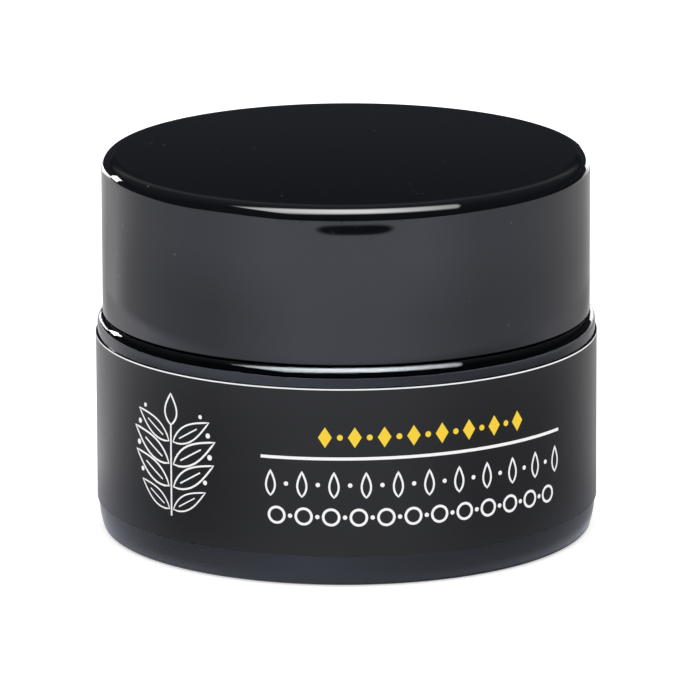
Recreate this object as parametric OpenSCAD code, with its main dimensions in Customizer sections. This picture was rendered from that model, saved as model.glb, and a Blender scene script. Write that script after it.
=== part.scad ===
// Straight-sided cosmetic jar: a thick glass jar with a wrap-around label, and a screw lid
// made of a smooth outer shell, a keyed inner cap, a liner and a sealing disc over the mouth.
// Millimetres. The origin is the middle of the base, +Z is up, the label's front faces -Y.

/* [Overall] */
// Diameter of the closed jar, over the label
jar_d = 46; // [40:0.5:70]
// Height of the glass body, from the table to the shoulder
body_h = 20.2; // [18:0.1:45]
// Height of the lid, from its lower edge to its top
lid_h = 14.5; // [13:0.1:20]
// Gap between the shoulder and the lower edge of the lid
lid_gap = 0.2; // [0.1:0.05:0.6]
// How far the side of the lid lies inside the side of the glass
lid_step = 0.5; // [0:0.05:2]

/* [Glass] */
// Height at which the side starts to draw in towards the base
heel_h = 2.8; // [2:0.1:4]
// Radius of the long curve in which it draws in
heel_r = 8; // [5:0.5:14]
// Rounding between that curve and the ring that the jar stands on
foot_r = 0.6; // [0.3:0.1:1.2]
// Rounding of the shoulder edge
shoulder_r = 1.1; // [0.4:0.1:2]
// Thickness of the floor at its middle
floor_t = 5.4; // [3:0.1:8]
// Rounding at the foot of the hollow
hollow_r = 4; // [1:0.1:6]
// Width of the flat ring that the jar stands on
stand_w = 3; // [1.5:0.1:5]
// Height of the push-up in the middle of the base
push_up = 0.9; // [0.4:0.1:1.6]

/* [Neck] */
// Wall of the neck
neck_wall = 2.2; // [1.8:0.1:4]
// Rounding of both edges of the rim
rim_r = 0.7; // [0.3:0.05:0.8]
// Rounding where the neck rises from the shoulder
neck_fillet_r = 0.8; // [0.3:0.1:1]
// How far the thread stands out from the neck
thread_h = 1.15; // [0.8:0.05:1.4]
// Play between the neck's thread and the bore of the inner cap
thread_play = 0.25; // [0.15:0.05:0.5]

/* [Label] */
// Straight bare glass between the heel's curve and the label's lower edge
label_low_gap = 0.1; // [0:0.1:3]
// Straight bare glass between the label's upper edge and the shoulder's rounding
label_high_gap = 0.7; // [0:0.1:3]
// Thickness of the label
label_t = 0.12; // [0.08:0.01:0.3]
// Thickness of its adhesive
glue_t = 0.03; // [0.02:0.01:0.06]
// Bare strip between the label's ends, at the back
label_split = 2; // [0.5:0.1:6]

/* [Lid shell] */
// Wall of the shell's side
shell_wall = 1.05; // [0.8:0.05:2]
// Thickness of the shell's top
shell_top_t = 1.2; // [0.8:0.05:2]
// Rounding of the top edge
lid_edge_r = 1.2; // [0.4:0.05:2]
// Rounding of the lower edge
lid_foot_r = 0.3; // [0.1:0.05:0.4]

/* [Inner cap] */
// Wall of the inner cap's skirt
insert_wall = 0.85; // [0.7:0.05:1.6]
// Thickness of its top
insert_top_t = 0.9; // [0.6:0.05:1.6]
// How far its lower edge lies above that of the shell
insert_rise = 0.9; // [0.5:0.1:1.5]
// Height of the bead that holds the liner in
liner_bead_h = 0.4; // [0.3:0.05:0.5]
// How far that bead reaches inwards
liner_bead_t = 0.35; // [0.2:0.05:0.5]

/* [Keys] */
// Number of keys inside the shell, each in its own groove of the inner cap
key_count = 24; // [8:1:36]
// Width of one key
key_w = 1.6; // [0.8:0.1:2]
// How far a key stands out from the shell
key_h = 0.3; // [0.2:0.05:0.6]
// Play of the inner cap in the shell, all round
key_play = 0.05; // [0.02:0.01:0.1]
// Height of the snap ring at the foot of the inner cap
snap_h = 0.6; // [0.4:0.05:0.9]
// How far the snap ring reaches into the shell's groove
snap_t = 0.15; // [0.1:0.05:0.3]

/* [Liner and sealing disc] */
// Thickness of the liner
liner_t = 1; // [0.6:0.05:1.6]
// Play around the liner
liner_play = 0.15; // [0.1:0.05:0.25]
// Thickness of the sealing disc
seal_t = 0.5; // [0.4:0.05:0.8]
// How far the sealing disc dips into the mouth
seal_dip = 1.8; // [1:0.1:3]
// Play of the sealing disc in the mouth
seal_play = 0.25; // [0.15:0.05:0.5]
// How far its flange stops short of the neck's side
seal_inset = 0.3; // [0.1:0.05:0.6]
// Length of its pull tab
tab_l = 9; // [5:0.5:14]
// Thickness of the pull tab
tab_t = 0.9; // [0.6:0.1:1.5]
// How far the tab's top lies below the flange's top
tab_drop = 0.4; // [0.2:0.1:0.6]

/* [Hidden] */
$fn = 96;

// How deep a key or tab is rooted in its wall, and how far a cut runs past a face
root = 0.2;

// Radii, from the outside inwards
label_r = jar_d / 2;
glass_r = label_r - label_t - glue_t;
lid_r = glass_r - lid_step;
shell_in_r = lid_r - shell_wall;
insert_r = shell_in_r - key_play;
groove_r = insert_r - key_h;
insert_in_r = groove_r - insert_wall;
liner_r = insert_in_r - liner_play;
neck_r = insert_in_r - thread_play - thread_h;
mouth_r = neck_r - neck_wall;
heel_a = asin((heel_h - foot_r) / (heel_r - foot_r));
stand_out_r = glass_r - heel_r + (heel_r - foot_r) * cos(heel_a);
stand_in_r = stand_out_r - stand_w;
dome_r = (stand_in_r * stand_in_r + push_up * push_up) / (2 * push_up);

// Heights, from the table upwards and from the lid's top downwards
lid_z = body_h + lid_gap;
lid_top_z = lid_z + lid_h;
insert_z = lid_z + insert_rise;
insert_top_z = lid_top_z - shell_top_t - key_play;
liner_top_z = insert_top_z - insert_top_t;
liner_z = liner_top_z - liner_t;
rim_z = liner_z - seal_t;
hollow_z = push_up + floor_t;
seal_z = rim_z - seal_dip;
snap_z = insert_z + snap_h;
key_z = snap_z + snap_h;
label_z = heel_h + label_low_gap;
label_top_z = body_h - shoulder_r - label_high_gap;

// A solid disc's half section, with its lower and upper outer edges rounded
module disc_section(r, z0, z1, low_r, high_r) {
    mid_z = (z0 + z1) / 2;
    translate([0, z0]) square([r - low_r, mid_z - z0]);
    translate([0, mid_z]) square([r - high_r, z1 - mid_z]);
    translate([0, z0 + low_r]) square([r, z1 - z0 - low_r - high_r]);
    translate([r - low_r, z0 + low_r]) circle(low_r);
    translate([r - high_r, z1 - high_r]) circle(high_r);
}

// A rectangle of the half section, from one corner to the other
module section_box(r0, z0, r1, z1) {
    translate([r0, z0]) square([r1 - r0, z1 - z0]);
}

// Upright bars around a cylinder: the shell's keys, or the inner cap's grooves for them
module bars(r0, r1, z0, z1, w) {
    for (i = [0 : key_count - 1])
        rotate(i * 360 / key_count)
            translate([r0, -w / 2, z0])
                cube([r1 - r0, w, z1 - z0]);
}

// The jar's body: a long curve draws the side in, and a small rounding leads into the base
module body_section() {
    curve_in = glass_r - heel_r;
    meet_z = foot_r * (1 - sin(heel_a));
    translate([stand_out_r, foot_r]) circle(foot_r);
    section_box(0, 0, stand_out_r, foot_r);
    section_box(0, 0, curve_in, heel_h);
    intersection() {
        translate([curve_in, heel_h]) circle(heel_r, $fn = 360);
        section_box(curve_in - root, meet_z, glass_r, heel_h);
    }
    section_box(0, heel_h, glass_r, body_h - shoulder_r);
    section_box(0, heel_h, glass_r - shoulder_r, body_h);
    translate([glass_r - shoulder_r, body_h - shoulder_r]) circle(shoulder_r);
}

module neck_section() {
    disc_section(neck_r, body_h - 2 * rim_r, rim_z, rim_r, rim_r);
    difference() {
        section_box(0, body_h - root, neck_r + neck_fillet_r, body_h + neck_fillet_r);
        translate([neck_r + neck_fillet_r, body_h + neck_fillet_r]) circle(neck_fillet_r);
    }
}

module hollow_section() {
    section_box(0, hollow_z, mouth_r - hollow_r, rim_z);
    section_box(0, hollow_z + hollow_r, mouth_r, rim_z + root);
    translate([mouth_r - hollow_r, hollow_z + hollow_r]) circle(hollow_r);
    difference() {
        section_box(0, rim_z - rim_r, mouth_r + rim_r, rim_z + root);
        translate([mouth_r + rim_r, rim_z - rim_r]) circle(rim_r);
    }
}

module push_up_section() {
    intersection() {
        translate([0, push_up - dome_r]) circle(dome_r, $fn = 360);
        section_box(0, -root, stand_in_r + root, push_up + root);
    }
}

module glass_jar() {
    color([0.09, 0.07, 0.13])
        rotate_extrude()
            difference() {
                union() {
                    body_section();
                    neck_section();
                }
                hollow_section();
                push_up_section();
            }
}

module wrap_label() {
    split_a = label_split / label_r * 180 / PI;
    color([0.14, 0.14, 0.15])
        rotate(90 + split_a / 2)
            rotate_extrude(angle = 360 - split_a)
                section_box(glass_r + glue_t, label_z, label_r, label_top_z);
}

module lid_shell() {
    color([0.1, 0.1, 0.11]) {
        rotate_extrude()
            difference() {
                disc_section(lid_r, lid_z, lid_top_z, lid_foot_r, lid_edge_r);
                section_box(0, lid_z - root, shell_in_r, lid_top_z - shell_top_t);
                section_box(0, snap_z - snap_h - key_play, shell_in_r + snap_t + key_play, snap_z + key_play);
            }
        bars(shell_in_r - key_h, shell_in_r + root, key_z, lid_top_z - shell_top_t + root, key_w);
    }
}

module lid_insert() {
    color([0.16, 0.16, 0.17])
        difference() {
            rotate_extrude()
                difference() {
                    union() {
                        section_box(0, insert_z, insert_r, insert_top_z);
                        section_box(0, insert_z, shell_in_r + snap_t, snap_z);
                    }
                    section_box(0, insert_z - root, insert_in_r, liner_z - liner_bead_h);
                    section_box(0, insert_z, insert_in_r - liner_bead_t, liner_top_z);
                    section_box(0, liner_z, insert_in_r, liner_top_z);
                }
            bars(groove_r, shell_in_r, key_z - key_play, insert_top_z + root, key_w + 2 * key_play);
        }
}

module liner_disc() {
    color([0.93, 0.93, 0.91])
        translate([0, 0, liner_z])
            cylinder(r = liner_r, h = liner_t);
}

// The tab's round-ended bar, of a given height
module pull_tab(h) {
    straight = tab_l - tab_t;
    translate([-straight / 2, -tab_t / 2, 0]) cube([straight, tab_t, h]);
    for (side = [-1, 1])
        translate([side * straight / 2, 0, 0]) cylinder(d = tab_t, h = h);
}

module sealing_disc() {
    color([0.96, 0.96, 0.95]) {
        rotate_extrude() {
            section_box(mouth_r - seal_play - seal_t, rim_z, neck_r - seal_inset, liner_z);
            section_box(0, seal_z, mouth_r - seal_play, seal_z + seal_t);
            section_box(mouth_r - seal_play - seal_t, seal_z, mouth_r - seal_play, liner_z);
        }
        translate([0, 0, seal_z + seal_t - root])
            pull_tab(liner_z - tab_drop - seal_z - seal_t + root);
    }
}

glass_jar();
wrap_label();
lid_shell();
lid_insert();
liner_disc();
sealing_disc();
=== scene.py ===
import math
import bmesh
import bpy
import numpy as np
from mathutils import Matrix, Vector
from mathutils.bvhtree import BVHTree


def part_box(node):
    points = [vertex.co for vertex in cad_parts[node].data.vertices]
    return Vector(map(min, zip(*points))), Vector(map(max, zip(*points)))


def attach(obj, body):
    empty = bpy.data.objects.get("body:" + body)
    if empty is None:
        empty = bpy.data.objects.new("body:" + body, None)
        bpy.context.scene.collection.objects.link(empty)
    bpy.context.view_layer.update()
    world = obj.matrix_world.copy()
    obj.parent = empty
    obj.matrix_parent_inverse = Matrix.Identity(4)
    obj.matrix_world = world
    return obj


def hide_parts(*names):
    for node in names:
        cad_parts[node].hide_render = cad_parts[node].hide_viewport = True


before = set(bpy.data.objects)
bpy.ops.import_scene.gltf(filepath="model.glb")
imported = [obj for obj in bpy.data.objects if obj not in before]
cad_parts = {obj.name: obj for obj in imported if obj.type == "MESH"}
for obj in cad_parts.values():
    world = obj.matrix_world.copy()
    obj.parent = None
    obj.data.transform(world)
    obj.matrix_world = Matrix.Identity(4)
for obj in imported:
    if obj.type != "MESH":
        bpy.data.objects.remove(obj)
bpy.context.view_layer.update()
mm = 0.001
fullTurn = 2 * math.pi
print("frame loaded:", ", ".join(sorted(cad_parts)))

photo = {"width": 700, "height": 700}

# where things show in the photo
imagePoints = {
    "lidLeft": (101.6, 240),
    "lidRight": (589.9, 240),
    "lidBack": (350, 102.4),
    "lidFoot": (350, 364.5),
    "jarLeft": (95.9, 370),
    "jarRight": (597.1, 370),
    "jarBottom": (350, 584.3),
    "labelTop": (350, 389),
    "labelBottom": (350, 557),
    "sprig": (175, 455),
    "yellowLeft": (318, 437.5),
    "yellowRight": (522, 419.5),
    "ruleLeft": (260.7, 455.8),
    "ruleRight": (558, 428.9),
    "leavesLeft": (266, 482),
    "leavesRight": (557, 457.5),
    "beadsLeft": (269, 514),
    "beadsRight": (552, 492),
}

viewpoint = {
    "aim": (0.00033, 0.0, 0.01627),
    "distance": 0.742,
    "elevation": 13.93,
    "roll": -0.21,
    "lens": 415.2,
    "sensor": 36.0,
}


def placeCamera():
    data = bpy.data.cameras.new("photoCamera")
    data.lens = viewpoint["lens"]
    data.sensor_width = viewpoint["sensor"]
    data.sensor_fit = "AUTO"
    data.clip_start = 0.01
    data.clip_end = 20
    camera = bpy.data.objects.new("photoCamera", data)
    bpy.context.scene.collection.objects.link(camera)
    tilt = math.radians(viewpoint["elevation"])
    back = Vector((0, -math.cos(tilt), math.sin(tilt)))
    roll = math.radians(viewpoint["roll"])
    turn = Matrix.Rotation(math.pi / 2 - tilt, 4, "X") @ Matrix.Rotation(roll, 4, "Z")
    camera.matrix_world = Matrix.Translation(Vector(viewpoint["aim"]) + back * viewpoint["distance"]) @ turn
    bpy.context.scene.camera = camera
    bpy.context.view_layer.update()
    return camera


camera = placeCamera()
longSide = max(photo["width"], photo["height"])


def pixelRay(x, y):
    across = x - photo["width"] / 2 + camera.data.shift_x * longSide
    up = photo["height"] / 2 - y + camera.data.shift_y * longSide
    ahead = -longSide * camera.data.lens / camera.data.sensor_width
    direction = camera.matrix_world.to_3x3() @ Vector((across, up, ahead))
    return camera.matrix_world.translation.copy(), direction.normalized()


def toPixel(place):
    local = camera.matrix_world.inverted() @ Vector(place)
    scale = longSide * camera.data.lens / camera.data.sensor_width / -local.z
    x = photo["width"] / 2 + local.x * scale - camera.data.shift_x * longSide
    y = photo["height"] / 2 - local.y * scale + camera.data.shift_y * longSide
    return x, y


def pointOn(carrier, name):
    # where the named image point lies on a finished piece
    origin, direction = pixelRay(*imagePoints[name])
    mesh = carrier.data
    corners = [v.co for v in mesh.vertices]
    tree = BVHTree.FromPolygons(corners, [p.vertices for p in mesh.polygons])
    place = tree.ray_cast(origin, direction)[0]
    if place is None:
        facing = [v for v in corners if (v - origin).dot(direction) > 0]
        place = min(facing, key=lambda v: (v - origin - direction * (v - origin).dot(direction)).length)
    return place


print("camera set")


def addMesh(name, mesh):
    piece = bpy.data.objects.new(name, mesh)
    bpy.context.scene.collection.objects.link(piece)
    return piece


def roundedPath(corners, arcSteps=10, support=0.05 * mm):
    # corners are (radius, height, fillet, longest step on the run that leaves it)
    path = []
    steps = []
    for i, corner in enumerate(corners):
        here = Vector(corner[:2])
        fillet = corner[2] if len(corner) > 2 else 0
        step = corner[3] if len(corner) > 3 else None
        if fillet:
            inward = (Vector(corners[i - 1][:2]) - here).normalized()
            outward = (Vector(corners[(i + 1) % len(corners)][:2]) - here).normalized()
            half = inward.angle(outward) / 2
            centre = here + (inward + outward).normalized() * fillet / math.sin(half)
            first = here + inward * fillet / math.tan(half)
            last = here + outward * fillet / math.tan(half)
            a = math.atan2(first.y - centre.y, first.x - centre.x)
            b = math.atan2(last.y - centre.y, last.x - centre.x)
            sweep = (b - a + math.pi) % fullTurn - math.pi
            path.append(first + inward * support)
            for k in range(arcSteps + 1):
                t = a + sweep * k / arcSteps
                path.append(centre + fillet * Vector((math.cos(t), math.sin(t))))
            path.append(last + outward * support)
        else:
            path.append(here)
        steps += [None] * (len(path) - len(steps) - 1) + [step]
    finer = []
    for i, here in enumerate(path):
        finer.append(here)
        after = path[(i + 1) % len(path)]
        if steps[i] and (after - here).length > steps[i]:
            count = math.ceil((after - here).length / steps[i])
            finer += [here.lerp(after, k / count) for k in range(1, count)]
    return finer


def lathe(name, path, segments=256, start=0.0, sweep=fullTurn, ring=False):
    # turns a section round the Z axis; a ring's section is closed by itself
    bm = bmesh.new()
    whole = sweep > fullTurn - 1e-6
    columns = segments if whole else segments + 1
    rows = []
    for r, z in path:
        if r < 1e-7:
            rows.append([bm.verts.new((0, 0, z))] * columns)
            continue
        row = []
        for k in range(columns):
            a = start + sweep * k / segments
            row.append(bm.verts.new((r * math.cos(a), r * math.sin(a), z)))
        rows.append(row)
    pairs = list(zip(rows, rows[1:])) + ([(rows[-1], rows[0])] if ring else [])
    for low, high in pairs:
        for k in range(segments):
            n = (k + 1) % columns
            loop = [low[k], low[n], high[n], high[k]]
            corners = [v for i, v in enumerate(loop) if v not in loop[:i]]
            if len(corners) > 2:
                bm.faces.new(corners)
    if not whole:
        bm.faces.new([row[0] for row in rows])
        bm.faces.new([row[-1] for row in rows])
    bmesh.ops.recalc_face_normals(bm, faces=bm.faces)
    mesh = bpy.data.meshes.new(name)
    bm.to_mesh(mesh)
    bm.free()
    mesh.shade_smooth()
    mesh.set_sharp_from_angle(angle=math.radians(35))
    return addMesh(name, mesh)


def bakeNodes(piece, tree, **values):
    # runs a Geometry Nodes tree on the piece and keeps the plain mesh
    modifier = piece.modifiers.new(tree.name, "NODES")
    modifier.node_group = tree
    for item in tree.interface.items_tree:
        if item.item_type == "SOCKET" and item.in_out == "INPUT" and item.name in values:
            modifier[item.identifier] = values[item.name]
    piece.update_tag()
    bpy.context.view_layer.update()
    evaluated = piece.evaluated_get(bpy.context.evaluated_depsgraph_get())
    mesh = bpy.data.meshes.new_from_object(evaluated)
    piece.modifiers.clear()
    piece.data = mesh
    mesh.name = piece.name
    return piece


def finishPiece(piece, body, slot, *nodes):
    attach(piece, body)
    if nodes:
        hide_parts(*nodes)
    print("made", piece.name, len(piece.data.polygons), "faces")


def newTree(name, inputs):
    tree = bpy.data.node_groups.new(name, "GeometryNodeTree")
    tree.interface.new_socket(name="Geometry", in_out="INPUT", socket_type="NodeSocketGeometry")
    for label_, kind in inputs:
        tree.interface.new_socket(name=label_, in_out="INPUT", socket_type="NodeSocket" + kind)
    tree.interface.new_socket(name="Geometry", in_out="OUTPUT", socket_type="NodeSocketGeometry")
    entry = tree.nodes.new("NodeGroupInput")
    return tree, entry.outputs


def joinTo(tree, value, socket):
    if isinstance(value, bpy.types.NodeSocket):
        tree.links.new(value, socket)
    else:
        socket.default_value = value


def maths(tree, operation, *values, clamp=False):
    node = tree.nodes.new("ShaderNodeMath")
    node.operation = operation
    node.use_clamp = clamp
    for value, socket in zip(values, node.inputs):
        joinTo(tree, value, socket)
    return node.outputs[0]


def distanceOut(tree, x, y):
    # how far a place is from the Z axis
    squares = [maths(tree, "MULTIPLY", value, value) for value in (x, y)]
    return maths(tree, "SQRT", maths(tree, "ADD", *squares))


def closeTree(tree, geometry, finish):
    realize = tree.nodes.new("GeometryNodeRealizeInstances")
    setMaterial = tree.nodes.new("GeometryNodeSetMaterial")
    leave = tree.nodes.new("NodeGroupOutput")
    tree.links.new(geometry, realize.inputs[0])
    tree.links.new(realize.outputs[0], setMaterial.inputs["Geometry"])
    joinTo(tree, finish, setMaterial.inputs["Material"])
    tree.links.new(setMaterial.outputs[0], leave.inputs[0])


def threadTree():
    # raises a helical bead out of every vertex that lies on one cylinder
    names = ["Wall Radius", "Start Height", "Pitch", "Turns", "Depth", "Foot Width", "Crest Width", "Fade"]
    tree, given = newTree("screwThread", [(n, "Float") for n in names] + [("Finish", "Material")])
    place = tree.nodes.new("GeometryNodeInputPosition")
    split = tree.nodes.new("ShaderNodeSeparateXYZ")
    tree.links.new(place.outputs[0], split.inputs[0])
    x, y, z = split.outputs[:3]
    radius = distanceOut(tree, x, y)
    around = maths(tree, "DIVIDE", maths(tree, "ARCTAN2", y, x), fullTurn)
    climb = maths(tree, "DIVIDE", maths(tree, "SUBTRACT", z, given["Start Height"]), given["Pitch"])
    winding = maths(tree, "ROUND", maths(tree, "SUBTRACT", climb, around))
    along = maths(tree, "ADD", winding, around)
    miss = maths(tree, "MULTIPLY", maths(tree, "SUBTRACT", climb, along), given["Pitch"])
    miss = maths(tree, "ABSOLUTE", miss)
    ends = maths(tree, "MINIMUM", along, maths(tree, "SUBTRACT", given["Turns"], along))
    body = maths(tree, "DIVIDE", ends, given["Fade"], clamp=True)
    footHalf = maths(tree, "DIVIDE", given["Foot Width"], 2.0)
    crestHalf = maths(tree, "DIVIDE", given["Crest Width"], 2.0)
    flank = tree.nodes.new("ShaderNodeMapRange")
    flank.interpolation_type = "SMOOTHSTEP"
    joinTo(tree, miss, flank.inputs["Value"])
    joinTo(tree, crestHalf, flank.inputs["From Min"])
    joinTo(tree, footHalf, flank.inputs["From Max"])
    flank.inputs["To Min"].default_value = 1
    flank.inputs["To Max"].default_value = 0
    off = maths(tree, "ABSOLUTE", maths(tree, "SUBTRACT", radius, given["Wall Radius"]))
    onWall = maths(tree, "LESS_THAN", off, 0.01 * mm)
    rise = maths(tree, "MULTIPLY", maths(tree, "MULTIPLY", flank.outputs[0], body), onWall)
    push = maths(tree, "MULTIPLY", rise, given["Depth"])
    push = maths(tree, "DIVIDE", push, maths(tree, "MAXIMUM", radius, mm))
    move = tree.nodes.new("ShaderNodeCombineXYZ")
    joinTo(tree, maths(tree, "MULTIPLY", x, push), move.inputs[0])
    joinTo(tree, maths(tree, "MULTIPLY", y, push), move.inputs[1])
    shift = tree.nodes.new("GeometryNodeSetPosition")
    tree.links.new(given["Geometry"], shift.inputs["Geometry"])
    tree.links.new(move.outputs[0], shift.inputs["Offset"])
    closeTree(tree, shift.outputs[0], given["Finish"])
    return tree


def ridgeTree():
    # cuts fine radial valleys into a flat ring, such as the ring a glass stands on
    names = ["Count", "Depth", "Inner Radius", "Outer Radius"]
    tree, given = newTree("standRidges", [(n, "Float") for n in names] + [("Finish", "Material")])
    place = tree.nodes.new("GeometryNodeInputPosition")
    split = tree.nodes.new("ShaderNodeSeparateXYZ")
    tree.links.new(place.outputs[0], split.inputs[0])
    x, y, z = split.outputs[:3]
    radius = distanceOut(tree, x, y)
    wave = maths(tree, "SINE", maths(tree, "MULTIPLY", maths(tree, "ARCTAN2", y, x), given["Count"]))
    valley = maths(tree, "MULTIPLY", maths(tree, "ADD", wave, 1.0), 0.5)
    inside = maths(tree, "GREATER_THAN", radius, given["Inner Radius"])
    outside = maths(tree, "LESS_THAN", radius, given["Outer Radius"])
    low = maths(tree, "LESS_THAN", z, 0.02 * mm)
    mask = maths(tree, "MULTIPLY", maths(tree, "MULTIPLY", inside, outside), low)
    lift = maths(tree, "MULTIPLY", maths(tree, "MULTIPLY", valley, mask), given["Depth"])
    move = tree.nodes.new("ShaderNodeCombineXYZ")
    joinTo(tree, lift, move.inputs[2])
    shift = tree.nodes.new("GeometryNodeSetPosition")
    tree.links.new(given["Geometry"], shift.inputs["Geometry"])
    tree.links.new(move.outputs[0], shift.inputs["Offset"])
    closeTree(tree, shift.outputs[0], given["Finish"])
    return tree


def barsTree():
    # upright bars, evenly spaced round the Z axis, joined to the given mesh
    names = ["Radius", "Bar Depth", "Bar Width", "Bar Height", "Middle Height"]
    floats = [(n, "Float") for n in names]
    tree, given = newTree("uprightBars", [("Count", "Int"), *floats, ("Finish", "Material")])
    circle = tree.nodes.new("GeometryNodeMeshCircle")
    tree.links.new(given["Count"], circle.inputs["Vertices"])
    tree.links.new(given["Radius"], circle.inputs["Radius"])
    size = tree.nodes.new("ShaderNodeCombineXYZ")
    for source, socket in zip(["Bar Depth", "Bar Width", "Bar Height"], size.inputs):
        tree.links.new(given[source], socket)
    bar = tree.nodes.new("GeometryNodeMeshCube")
    tree.links.new(size.outputs[0], bar.inputs["Size"])
    turn = tree.nodes.new("ShaderNodeCombineXYZ")
    index = tree.nodes.new("GeometryNodeInputIndex")
    share = maths(tree, "DIVIDE", index.outputs[0], given["Count"])
    joinTo(tree, maths(tree, "MULTIPLY", share, fullTurn), turn.inputs[2])
    toRotation = tree.nodes.new("FunctionNodeEulerToRotation")
    tree.links.new(turn.outputs[0], toRotation.inputs[0])
    instance = tree.nodes.new("GeometryNodeInstanceOnPoints")
    tree.links.new(circle.outputs[0], instance.inputs["Points"])
    tree.links.new(bar.outputs[0], instance.inputs["Instance"])
    tree.links.new(toRotation.outputs[0], instance.inputs["Rotation"])
    rise = tree.nodes.new("ShaderNodeCombineXYZ")
    tree.links.new(given["Middle Height"], rise.inputs[2])
    lift = tree.nodes.new("GeometryNodeSetPosition")
    tree.links.new(instance.outputs[0], lift.inputs["Geometry"])
    tree.links.new(rise.outputs[0], lift.inputs["Offset"])
    join = tree.nodes.new("GeometryNodeJoinGeometry")
    tree.links.new(lift.outputs[0], join.inputs[0])
    tree.links.new(given["Geometry"], join.inputs[0])
    closeTree(tree, join.outputs[0], given["Finish"])
    return tree


def grooveTree():
    # presses evenly spaced upright grooves into a round wall, open at its top
    names = ["Groove Radius", "Half Angle", "From Height"]
    floats = [(n, "Float") for n in names]
    tree, given = newTree("keyGrooves", [("Count", "Int"), *floats, ("Finish", "Material")])
    place = tree.nodes.new("GeometryNodeInputPosition")
    split = tree.nodes.new("ShaderNodeSeparateXYZ")
    tree.links.new(place.outputs[0], split.inputs[0])
    x, y, z = split.outputs[:3]
    radius = distanceOut(tree, x, y)
    step = maths(tree, "DIVIDE", fullTurn, given["Count"])
    high, low = [maths(tree, "MULTIPLY", step, share) for share in (0.5, -0.5)]
    nearest = maths(tree, "ABSOLUTE", maths(tree, "WRAP", maths(tree, "ARCTAN2", y, x), high, low))
    inGroove = maths(tree, "LESS_THAN", nearest, given["Half Angle"])
    above = maths(tree, "GREATER_THAN", z, given["From Height"])
    tooFar = maths(tree, "SUBTRACT", radius, maths(tree, "MINIMUM", radius, given["Groove Radius"]))
    press = maths(tree, "MULTIPLY", maths(tree, "MULTIPLY", inGroove, above), tooFar)
    push = maths(tree, "DIVIDE", press, maths(tree, "MAXIMUM", radius, mm))
    move = tree.nodes.new("ShaderNodeCombineXYZ")
    joinTo(tree, maths(tree, "MULTIPLY", maths(tree, "MULTIPLY", x, push), -1.0), move.inputs[0])
    joinTo(tree, maths(tree, "MULTIPLY", maths(tree, "MULTIPLY", y, push), -1.0), move.inputs[1])
    shift = tree.nodes.new("GeometryNodeSetPosition")
    tree.links.new(given["Geometry"], shift.inputs["Geometry"])
    tree.links.new(move.outputs[0], shift.inputs["Offset"])
    closeTree(tree, shift.outputs[0], given["Finish"])
    return tree


def rowTree():
    # a straight row of two motifs by turns, laid flat
    tree, given = newTree("motifRow", [("First Motif", "Object"), ("Second Motif", "Object"),
                                       ("Count", "Int"),
                                       ("Length", "Float"), ("Finish", "Material")])
    line = tree.nodes.new("GeometryNodeMeshLine")
    line.mode = "END_POINTS"
    line.inputs["Count"].default_value = 2
    tree.links.new(given["Count"], line.inputs["Count"])
    for sign, socket in ((-0.5, line.inputs["Start Location"]), (0.5, line.inputs["Offset"])):
        end = tree.nodes.new("ShaderNodeCombineXYZ")
        joinTo(tree, maths(tree, "MULTIPLY", given["Length"], sign), end.inputs[0])
        tree.links.new(end.outputs[0], socket)
    motifs = tree.nodes.new("GeometryNodeGeometryToInstance")
    for name in ("Second Motif", "First Motif"):
        info = tree.nodes.new("GeometryNodeObjectInfo")
        tree.links.new(given[name], info.inputs["Object"])
        tree.links.new(info.outputs["Geometry"], motifs.inputs[0])
    index = tree.nodes.new("GeometryNodeInputIndex")
    pick = maths(tree, "MODULO", index.outputs[0], 2.0)
    instance = tree.nodes.new("GeometryNodeInstanceOnPoints")
    instance.inputs["Pick Instance"].default_value = True
    tree.links.new(line.outputs[0], instance.inputs["Points"])
    tree.links.new(motifs.outputs[0], instance.inputs["Instance"])
    tree.links.new(pick, instance.inputs["Instance Index"])
    closeTree(tree, instance.outputs[0], given["Finish"])
    return tree


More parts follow.
